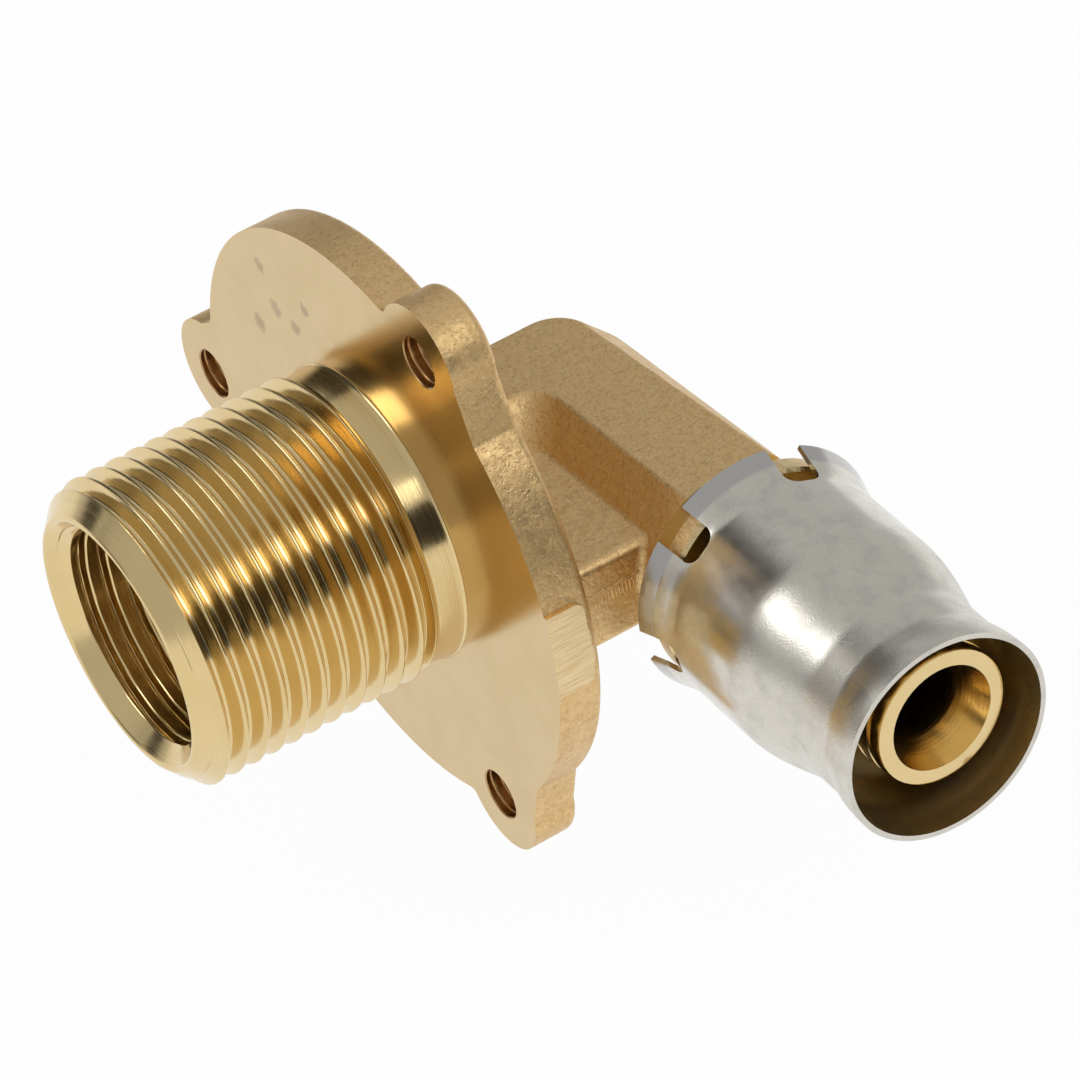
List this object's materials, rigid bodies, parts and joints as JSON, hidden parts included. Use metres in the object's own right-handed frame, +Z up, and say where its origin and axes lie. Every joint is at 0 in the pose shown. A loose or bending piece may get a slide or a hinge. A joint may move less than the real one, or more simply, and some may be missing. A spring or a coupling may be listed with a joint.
{
  "type": "push-fit elbow",
  "caption": "Brass wall-plate pipe elbow with a threaded spigot, an eared flange and a stainless press sleeve over a grooved nipple.",
  "frame": {"origin": "centre of the flange's front face, on the spigot's axis", "axes": "-Y along the spigot out of the wall, +X along the press arm, +Z up across the flats of the elbow block"},
  "size_m": [0.0836, 0.0534, 0.0536],
  "materials": {
    "brass": "forged, with turned spigot, flange face and nipple",
    "stainless": "satin drawn sheet",
    "seal": "matt"
  },
  "bodies": {
    "root": {"elbow_body": "brass", "press_sleeve": "stainless", "front_o_ring": "seal", "rear_o_ring": "seal"}
  },
  "joints": []
}
